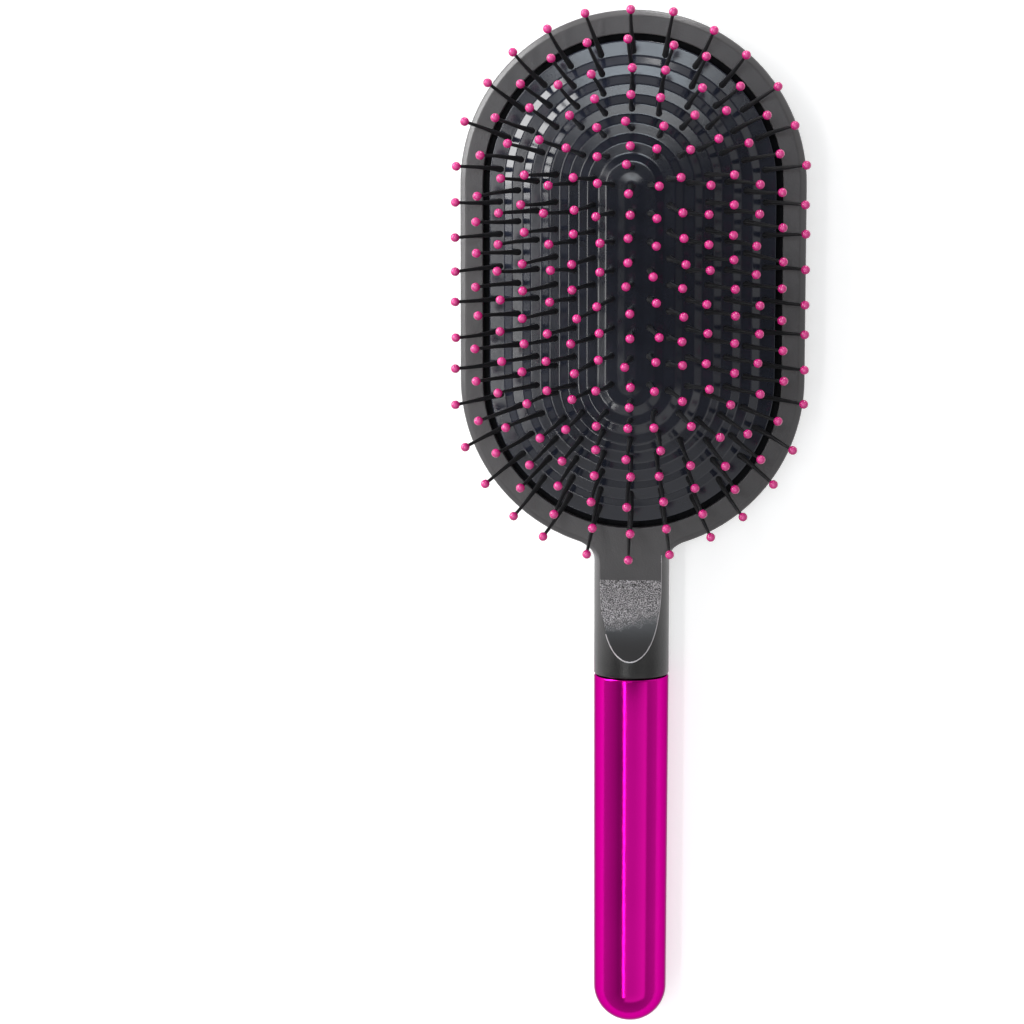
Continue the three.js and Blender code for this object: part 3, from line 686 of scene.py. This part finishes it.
def grain_with_painted_glints(name, base, edge_y, lean):
    """Coarse spark-eroded grain with bright specks painted into its colour as glints of light,
    which ends along a line across the scoop.
    """
    look = new_look(name)
    slanted = {0: look.where["Object"], 1: (-lean, 1, 0)}
    place = look.node("VectorMath", slanted, operation="DOT_PRODUCT").outputs["Value"]
    ragged = look.math("MULTIPLY_ADD", look.noise(500, 2.0), 4 * MM, place)
    mask = look.remap(ragged, 0, 1, edge_y + 0.5 * MM, edge_y + 3.5 * MM)
    # painted highlight: the specks lift the colour up to nine times as glints of light, and they
    # also raise the grain's relief
    grain_and_glint_specks = look.math("MULTIPLY", look.remap(look.noise(3600, 1.0), 0, 1, 0.4, 0.66), mask)
    base = np.array(base)
    return look.finish(
        Base_Color=look.tint(grain_and_glint_specks, base * 0.4, base * 9),
        Roughness=look.remap(mask, 0.3, 0.24, 0, 1), Normal=look.bump(grain_and_glint_specks, 0.6, 0.06 * MM),
    )


def painted_metal(name, base):
    """Anodised tube: coloured metal with a tight gloss and a very fine drawn texture."""
    look = new_look(name)
    broad = look.noise(22, 3.0)
    return look.finish(
        Base_Color=look.mottled(broad, base, 0.95, 1.05),
        Roughness=look.remap(broad, 0.15, 0.19), Metallic=1.0, Specular_Tint=(0.45, 0.4, 0.45),
        Normal=look.bump(look.noise(9000, 1.0), 0.06, 0.05 * MM),
    )


def glossy_ball(name, base):
    """Dipped ball tips: deep glossy pink, with a painted highlight that makes them paler on top,
    and slight unevenness.
    """
    look = new_look(name)
    patches = look.noise(260, 2.0)
    deep = look.mottled(patches, base, 0.85, 1.1)
    # painted highlight: the upward-facing part of each ball is coloured paler
    top = look.remap(look.part_of(look.where["Normal"], "Z"), 0, 0.85, 0.8, 0.995)
    return look.finish(
        Base_Color=look.tint(top, deep, np.array(base) + (0.18, 0.08, 0.14)),
        Roughness=look.remap(patches, 0.16, 0.24), Normal=look.bump(patches, 0.05, 0.05 * MM),
    )


def plated_steel(name, base):
    """Zinc-plated screw: fine turning marks and uneven gloss."""
    look = new_look(name)
    marks = look.noise(3200, 3.0)
    return look.finish(
        Base_Color=look.mottled(marks, base, 0.85, 1), Roughness=look.remap(marks, 0.28, 0.42),
        Metallic=1.0, Normal=look.bump(marks, 0.1, 0.05 * MM),
    )


def paint(piece, *finishes):
    """Gives a piece its finishes."""
    piece.data.materials.clear()
    for finish in finishes:
        piece.data.materials.append(finish)


def repaint(node, finish):
    """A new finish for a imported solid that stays."""
    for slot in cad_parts[node].material_slots:
        slot.material = finish


# The pieces

def brush_settings(context):
    """The sizes, their plan, and the colours."""
    size = context.scene.brush_sizes
    return size, brush_plan(size), context.scene.brush_colours


PLAIN, COARSE_WITH_GLINTS, PAINTED_EDGE_HIGHLIGHT = 0, 1, 2
EDGE_DEPTH, EDGE_WIDTH, COARSE_DEPTH = 0.09 * MM, 0.11 * MM, 0.1 * MM
EDGE_REACH = 7 * MM
SCOOP_SLANT = 0.22  # of the lower end of the coarse grain and its painted glints, across the neck


def scoop_finish(plan, size, face):
    """Which of its three finishes a face of the front shell has: the scoop's floor has coarse grain
    with painted glints, and its edge carries a painted highlight on the right side and near the
    collar, where light catches it."""
    x, y, z = face.center
    below = scoop_rise(plan, size, y) - (z - plan.axis_z)
    off_axis = np.hypot(x, z - plan.axis_z)
    is_neck = plan.ramp_end_y - MM <= y <= plan.ramp_start_y + EDGE_REACH
    if not is_neck or off_axis > plan.neck + 0.02 * MM:
        return PLAIN
    if below < EDGE_DEPTH and off_axis > plan.neck - EDGE_WIDTH and x > -0.75 * plan.neck:
        # painted highlight on the edge's right side and near the collar; the rest of the edge stays
        # plain
        return PAINTED_EDGE_HIGHLIGHT if x > 0 or y < plan.ramp_end_y + EDGE_REACH else PLAIN
    if y < plan.ramp_start_y and below < COARSE_DEPTH and face.normal.z > 0.8:
        return COARSE_WITH_GLINTS
    return PLAIN


class BRUSH_OT_front_shell(bpy.types.Operator):
    """Frame of the head and front half of the neck"""

    bl_idname = "brush.front_shell"
    bl_label = "Front shell"

    def execute(self, context):
        size, plan, colours = brush_settings(context)
        piece = shell_half(plan, size, True, "head_front_shell")
        cut(piece, [core_slot(plan, size)])
        smooth(piece)
        charcoal = np.array(colours.front_shell)
        # painted shade: the front shell's colour darkens down the scoop to the collar
        painted_shade = (plan.ramp_end_y - MM, plan.ramp_start_y + 6 * MM, 0.04)
        band_y = plan.ramp_start_y - size.scoop_grain_and_glints
        paint(
            piece,
            moulded("charcoal_front", charcoal, 0.33, grain=0.45, grain_scale=2300, painted_shade=painted_shade),
            # coarse grain with painted glints
            grain_with_painted_glints("charcoal_scoop", 0.8 * charcoal, band_y, SCOOP_SLANT),
            # painted highlight: a light, glossy strip along the scoop's edge
            moulded("painted_edge_highlight", 7 * charcoal, 0.16, grain=0.1),
        )
        for face in piece.data.polygons:
            face.material_index = scoop_finish(plan, size, face)
        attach(piece, "brush")
        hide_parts("front_shell")
        return {"FINISHED"}


class BRUSH_OT_back_shell(bpy.types.Operator):
    """Back cover of the head and back half of the neck, with its screw bosses and posts"""

    bl_idname = "brush.back_shell"
    bl_label = "Back shell"

    def execute(self, context):
        size, plan, colours = brush_settings(context)
        piece = shell_half(plan, size, False, "head_back_shell")
        cut(piece, [core_slot(plan, size)])
        posts, bores = inner_posts(plan, size)
        cut(piece, posts, "UNION")
        cut(piece, bores)
        smooth(piece)
        charcoal = colours.back_shell
        paint(piece, moulded("charcoal_back", charcoal, 0.24, grain=0.7, grain_scale=1900))
        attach(piece, "brush")
        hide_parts("back_shell")
        return {"FINISHED"}


class BRUSH_OT_handle_sleeve(bpy.types.Operator):
    """Metallic sleeve of the handle"""

    bl_idname = "brush.handle_sleeve"
    bl_label = "Handle sleeve"

    def execute(self, context):
        size, plan, colours = brush_settings(context)
        chamfer = 0.15 * MM
        top = plan.seam_y - size.shell_gap
        end = size.sleeve_end_diameter / 2
        end_y = plan.seam_y - size.sleeve_length + end
        quarter = np.linspace(0, pi / 2, 25)
        lip = size.sleeve_lip
        profile = [(end * sin(a), end_y - end * cos(a)) for a in quarter]
        profile += [
            (end + (plan.neck - end) * t, end_y + (top - lip - end_y) * t)
            for t in np.linspace(0, 1, 9)[1:]
        ]
        profile += [
            (plan.neck - lip + lip * cos(a), top - lip + lip * sin(a))
            for a in np.linspace(0, pi / 2, 9)[1:]
        ]
        bore = plan.neck - size.sleeve_wall
        inner = end - size.sleeve_wall
        profile += [(bore + chamfer, top), (bore, top - chamfer)]
        profile += [(inner * sin(a), end_y - inner * cos(a)) for a in quarter[::-1]]
        piece = turned(profile, 128, "handle_sleeve_tube", centre=(0, plan.axis_z))
        paint(piece, painted_metal("magenta_lacquer", colours.sleeve))
        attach(piece, "brush")
        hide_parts("handle_sleeve")
        return {"FINISHED"}


RIM_ROUNDING, RIM_WALL = 0.3 * MM, 0.5 * MM
FLANGE_THICKNESS, FLANGE_REACH = 1.4 * MM, 1.2 * MM


def terrace_z(plan, size, ring):
    """Height of a terrace of the cushion, counted from the outermost ring."""
    r = plan.outer_pins - ring * plan.ring_pitch
    return plan.cushion_z + size.cushion_crown * (1 - (r / plan.cushion) ** 2)


class BRUSH_OT_cushion(bpy.types.Operator):
    """Terraced rubber cushion, and the edge that holds it under the frame"""

    bl_idname = "brush.cushion"
    bl_label = "Cushion"

    def execute(self, context):
        size, plan, colours = brush_settings(context)
        rubber = moulded("blue_black_rubber", colours.cushion, 0.14, grain=0.05, grain_scale=900)
        skin, soft = size.cushion_skin, size.step_rounding
        fall = size.terrace_fall * np.linspace(1, 0, len(PINS_PER_RING))
        top_z = terrace_z(plan, size, 0) - fall[0]
        corners = [(plan.cushion, plan.cushion_z, 0), (plan.cushion, top_z, RIM_ROUNDING)]
        under = []
        for ring in range(len(PINS_PER_RING) - 1):
            middle = plan.outer_pins - (ring + 0.5) * plan.ring_pitch
            for shift, level in ((0.5, ring), (-0.5, ring + 1)):
                r, z = middle + shift * size.step_width, terrace_z(plan, size, level)
                corners.append((r, z - fall[level] * (shift < 0), soft))
                under.append((r, max(z - skin, plan.cushion_z), soft))
        crown_z = terrace_z(plan, size, len(PINS_PER_RING) - 1)
        top = rounded([*corners, (0, crown_z, 0)], 5)
        wall = (plan.cushion - skin, plan.cushion_z, 0)
        below = rounded([wall, *under, (0, crown_z - skin, 0)], 3)
        route = head_route(plan, 0.0, 96)[:-1]
        membrane = Skin()
        membrane.grid(swept(route, np.concatenate([below[::-1], top])), wrap_rows=True)
        piece = membrane.finish("cushion_membrane", radians(50))
        paint(piece, rubber)
        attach(piece, "brush")
        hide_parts("cushion_outer", "cushion_middle", "cushion_inner", "cushion_crown")
        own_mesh(piece)

        flange_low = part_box("cushion_rim")[0].z
        flange_top = flange_low + FLANGE_THICKNESS
        flange = plan.opening + FLANGE_REACH
        inside = plan.cushion - RIM_WALL
        section = rounded([
            (inside, plan.cushion_z, 0), (inside, flange_low, 0), (flange, flange_low, 0.2 * MM),
            (flange, flange_top, 0.2 * MM), (plan.cushion, flange_top, RIM_ROUNDING),
            (plan.cushion, plan.cushion_z, 0),
        ])
        edge = Skin()
        edge.grid(swept(route, section), wrap_rows=True, wrap_columns=True)
        piece = edge.finish("cushion_edge", radians(40))
        # painted shade: the cushion's edge down in the groove is coloured far darker than the rest
        # of the rubber
        painted_groove_shade = 0.15 * np.array(colours.cushion)
        paint(piece, moulded("groove_rubber_painted_shade", painted_groove_shade, 0.6, grain=0.1, grain_scale=900, specular=0.12))
        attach(piece, "brush")
        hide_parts("cushion_rim")
        return {"FINISHED"}


def places_along(plan, radius, count):
    """Even places round the head at a distance from its middle line, each with its direction
    outwards. The first is at the top. On the middle line they run from end to end."""
    straight = plan.high_y - plan.low_y
    if radius < 1e-6:
        return [(0.0, plan.high_y - i * straight / (count - 1), 0.0, 1.0) for i in range(count)]
    quarter = pi * radius / 2
    half = 2 * quarter + straight
    places = []
    for i in range(count):
        along = i * 2 * half / count
        side = 1 if along < half else -1
        down = along if along < half else 2 * half - along
        turned_by = down if down < quarter else max(quarter, down - straight)
        out_x, out_y = side * sin(turned_by / radius), cos(turned_by / radius)
        y = plan.high_y - (down - quarter)
        if down < quarter:
            y = plan.high_y + radius * out_y
        elif down > quarter + straight:
            y = plan.low_y + radius * out_y
        places.append((radius * out_x, y, out_x, out_y))
    return places


def rods(name, axes, sides):
    """Round bars in one mesh, each from the points of its axis and a radius at every point."""
    points, faces = [], []
    angles = np.linspace(0, 2 * pi, sides, endpoint=False)[:, None]
    for centres, radii in axes:
        ways = np.gradient(centres, axis=0)
        ways /= np.linalg.norm(ways, axis=1)[:, None]
        first = len(points) * sides
        for centre, way, radius in zip(centres, ways, radii):
            across = np.cross(way, (0, 1, 0) if abs(way[1]) < 0.9 else (1, 0, 0))
            across /= np.linalg.norm(across)
            round_it = np.cos(angles) * across + np.sin(angles) * np.cross(way, across)
            points.append(centre + radius * round_it)
        last = first + (len(centres) - 1) * sides
        for low in range(first, last, sides):
            for j in range(sides):
                k = (j + 1) % sides
                faces.append((low + j, low + k, low + sides + k, low + sides + j))
        faces.append(list(range(first, first + sides))[::-1])
        faces.append(list(range(last, last + sides)))
    mesh = bpy.data.meshes.new(name)
    mesh.from_pydata(np.concatenate(points).tolist(), [], faces)
    return placed(mesh, radians(50))


# distances from the cushion in mm, each with its share of the root's radius
PIN_TAPER = ((-1.2, 1.1), (0, 1.08), (0.6, 0.98), (2, 0.88), (5, 0.76), (9, 0.64), (13, 0.56))
PIN_BOW, PIN_IN_BALL = 0.18 * MM, 0.4 * MM
SIDE_LEAN_POWER, END_LEAN_POWER = 0.8, 1.9


class BRUSH_OT_pins(bpy.types.Operator):
    """Pins and their ball tips, in rings that lean outwards"""

    bl_idname = "brush.pins"
    bl_label = "Pins and ball tips"

    def execute(self, context):
        size, plan, colours = brush_settings(context)
        nylon = moulded("black_nylon", colours.pin, 0.32, grain=0.1, grain_scale=1500)
        pink = glossy_ball("pink_ball", colours.ball)
        random = np.random.default_rng(size.seed)
        root, ball = size.pin_root_diameter / 2, size.ball_diameter / 2
        lowest, highest = (np.array(corner) for corner in SOLIDS_BOX)
        stations = [(place * MM, share * root) for place, share in PIN_TAPER]
        stations.append((size.pin_length - PIN_IN_BALL, size.pin_diameter / 2))
        shares, radii = np.array(stations).T
        shares = shares / size.pin_length
        turn = np.linspace(-1.25, pi / 2 - 0.12, 11)
        for s, body in enumerate(SLICE_BODIES):
            pins, balls = [], []
            for ring in range(s * RINGS_PER_SLICE, (s + 1) * RINGS_PER_SLICE):
                r = max(plan.outer_pins - ring * plan.ring_pitch, 0)
                for x, y, out_x, out_y in places_along(plan, r, PINS_PER_RING[ring]):
                    foot = np.array((x, y, terrace_z(plan, size, ring)))
                    power = SIDE_LEAN_POWER + (END_LEAN_POWER - SIDE_LEAN_POWER) * out_y**2
                    lean = size.pin_lean * (r / plan.outer_pins) ** power
                    way = np.array((out_x * sin(lean), out_y * sin(lean), cos(lean)))
                    stray = random.normal(0, size.pin_scatter, 3) * (1, 1, 0.2)
                    tip = foot + way * size.pin_length + stray
                    tip = foot + (tip - foot) * size.pin_length / np.linalg.norm(tip - foot)
                    tip = np.clip(tip, lowest + ball, highest - ball)
                    straight = (tip - foot) / np.linalg.norm(tip - foot)
                    bow = random.normal(0, PIN_BOW, 3) * (1, 1, 0)
                    centres = [
                        foot + t * (tip - foot) + 4 * max(t, 0) * (1 - t) * bow for t in shares
                    ]
                    pins.append((np.array(centres), radii))
                    centres = tip + ball * np.sin(turn)[:, None] * straight
                    balls.append((centres, np.cos(turn) * ball))
            for name, axes, finish, slot_name, sides in (
                (f"pins_{body}", pins, nylon, "pin", 10),
                (f"ball_tips_{body}", balls, pink, "pin_tip", 16),
            ):
                piece = rods(name, axes, sides)
                paint(piece, finish)
                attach(piece, body)
        return {"FINISHED"}


class BRUSH_OT_inner_parts(bpy.types.Operator):
    """Finishes of the handle core, tray, clamp ring, rubber rings and screws"""

    bl_idname = "brush.inner_parts"
    bl_label = "Inner parts"

    def execute(self, context):
        colours = context.scene.brush_colours
        core = moulded("core_plastic", colours.core, 0.55, grain=0.3, grain_scale=1200)
        repaint("handle_core", core)
        tray = moulded("tray_plastic", colours.tray, 0.55, grain=0.3, grain_scale=1500)
        for node in ("cushion_tray", "cushion_clamp_ring"):
            repaint(node, tray)
        rubber = moulded(
            "ring_rubber", colours.ring, 0.75, grain=0.2, grain_scale=1800, specular=0.3
        )
        steel = plated_steel("zinc_plate", colours.screw)
        for node in sorted(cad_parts):
            if node.startswith("sleeve_ring"):
                repaint(node, rubber)
            elif node.startswith("tray_screw"):
                repaint(node, steel)
        return {"FINISHED"}


# The stage

ACROSS, ALONG = (1, 0, 0), (0, 1, 0)
LAMPS = (
    # name, place, target, direction of the width, width, height, radiance, shade
    ("key_softbox", (-0.32, 0.06, 0.95), (-0.32, 0.06, 0), ACROSS, 0.17, 0.36, 5.4),
    ("top_softbox", (-0.08, 0.41, 1.9), (-0.08, 0.41, 0), ACROSS, 0.44, 0.11, 12, (0.78, 0.9, 1)),
    ("neck_softbox", (-0.08, 0.265, 1.9), (-0.08, 0.265, 0), ACROSS, 0.44, 0.17, 4.5,
     (0.96, 0.98, 1)),
    ("left_panel", (-0.78, 0.46, 0.23), (0, 0.1, 0.02), ALONG, 0.9, 0.42, 11),
    ("far_window", (0.16, 1.05, 0.08), (0, 0.1, 0.02), ACROSS, 0.2, 0.16, 45),
    ("sleeve_panel", (0.39, -0.525, 0.78), (0.39, -0.525, 0), ACROSS, 1.22, 0.8, 0.79),
    ("sleeve_line", (-0.265, -0.36, 0.85), (-0.265, -0.36, 0), ACROSS, 0.022, 0.56, 22),
)
ROOM_GREYS = ((0.05, 1.0), (0.4, 0.8), (0.67, 0.6), (0.95, 0.13))
FLOOR_REACH, FLOOR_DROP, FLOOR_GLOW = 3, 0.0005, 0.42
CAMERA_PLACE, CAMERA_AIM, CAMERA_LENS = (41.7, 121.6, 880), (-31.3, 2.6, 12), 118.21


def lamp(name, place, target, across, width, height, radiance, shade=(1, 1, 1)):
    """A soft box that faces a point, with its width along a direction and an even brightness."""
    data = bpy.data.lights.new(name, "AREA")
    data.shape, data.size, data.size_y = "RECTANGLE", width, height
    data.energy, data.color = radiance * pi * width * height, shade
    made = bpy.data.objects.new(name, data)
    back = (Vector(place) - Vector(target)).normalized()
    right = (Vector(across) - back * back.dot(Vector(across))).normalized()
    made.rotation_euler = Matrix((right, back.cross(right), back)).transposed().to_euler()
    made.location = place
    made.visible_camera = False
    bpy.context.scene.collection.objects.link(made)


def pale_board(name, base):
    """Floor: pale and almost matt, and a little lit from within where a camera, a gloss or a
    clear piece sees it."""
    look = new_look(name)
    ray = look.node("LightPath", {}).outputs
    seen = look.math("ADD", ray["Is Camera Ray"], ray["Is Glossy Ray"])
    seen = look.math("ADD", seen, ray["Is Transmission Ray"], use_clamp=True)
    return look.finish(
        Base_Color=look.mottled(look.noise(3, 2.0), base, 0.99, 1),
        Roughness=0.8, Specular_IOR_Level=0.2,
        Emission_Color=(1, 1, 1), Emission_Strength=look.math("MULTIPLY", seen, FLOOR_GLOW),
    )


def soft_room():
    """World: greys that darken towards the top and towards the handle's side."""
    look = Look(bpy.data.worlds.new("soft_room"), "Background")
    place = look.node("SeparateXYZ", {0: look.where["Generated"]}).outputs
    ramp = look.node("ValToRGB", {0: place["Z"]})
    stops = ramp.color_ramp.elements
    for i, (height, grey) in enumerate(ROOM_GREYS):
        stop = stops[0] if i == 0 else stops[-1] if i == len(ROOM_GREYS) - 1 else stops.new(height)
        stop.position, stop.color = height, (grey, grey, grey, 1)
    side = look.remap(place["Y"], 0.6, 1.0, -0.9, 0.5)
    shade = look.node("VectorMath", {0: ramp.outputs["Color"], "Scale": side}, operation="SCALE")
    look.fill(look.end, {"Color": shade.outputs["Vector"], "Strength": 1.0})
    return look.owner


class BRUSH_OT_stage(bpy.types.Operator):
    """Pale floor, soft lamps and the camera"""

    bl_idname = "brush.stage"
    bl_label = "Stage"

    def execute(self, context):
        scene = context.scene
        skin = Skin()
        lines = np.linspace(-FLOOR_REACH, FLOOR_REACH, 13)
        skin.grid([[(x, y, -FLOOR_DROP) for x in lines] for y in lines])
        floor = skin.finish("floor")
        paint(floor, pale_board("pale_floor", scene.brush_colours.floor))
        for row in LAMPS:
            lamp(*row)
        scene.world = soft_room()

        data = bpy.data.cameras.new("photo_camera")
        data.lens, data.sensor_width, data.clip_start = CAMERA_LENS, 36, 0.01
        camera = bpy.data.objects.new("photo_camera", data)
        camera.location = Vector(CAMERA_PLACE) * MM
        look = (Vector(CAMERA_AIM) * MM - camera.location).normalized()
        right = look.cross(Vector(ALONG)).normalized()
        camera.rotation_euler = Matrix((right, right.cross(look), -look)).transposed().to_euler()
        scene.collection.objects.link(camera)
        scene.camera = camera
        scene.view_settings.view_transform = "Standard"
        return {"FINISHED"}


OPERATORS = (
    BRUSH_OT_front_shell, BRUSH_OT_back_shell, BRUSH_OT_handle_sleeve, BRUSH_OT_cushion,
    BRUSH_OT_pins, BRUSH_OT_inner_parts, BRUSH_OT_stage,
)


class BRUSH_PT_pieces(bpy.types.Panel):
    """The brush's pieces, in building order"""

    bl_label = "Cushion styling brush"
    bl_idname = "BRUSH_PT_pieces"
    bl_space_type = "VIEW_3D"
    bl_region_type = "UI"
    bl_category = "Brush"

    def draw(self, context):
        column = self.layout.column(align=True)
        for operator in OPERATORS:
            column.operator(operator.bl_idname, text=operator.bl_label)
        for group in (context.scene.brush_sizes, context.scene.brush_colours):
            box = self.layout.box()
            for name in group.__annotations__:
                box.prop(group, name)


CLASSES = (BrushSizes, BrushColours, *OPERATORS, BRUSH_PT_pieces)


def register():
    for item in CLASSES:
        bpy.utils.register_class(item)
    bpy.types.Scene.brush_sizes = PointerProperty(type=BrushSizes)
    bpy.types.Scene.brush_colours = PointerProperty(type=BrushColours)


def unregister():
    del bpy.types.Scene.brush_colours
    del bpy.types.Scene.brush_sizes
    for item in reversed(CLASSES):
        bpy.utils.unregister_class(item)


def main():
    register()
    for build in (
        bpy.ops.brush.front_shell, bpy.ops.brush.back_shell, bpy.ops.brush.handle_sleeve,
        bpy.ops.brush.cushion, bpy.ops.brush.pins, bpy.ops.brush.inner_parts, bpy.ops.brush.stage,
    ):
        build()


if __name__ == "__main__":
    main()
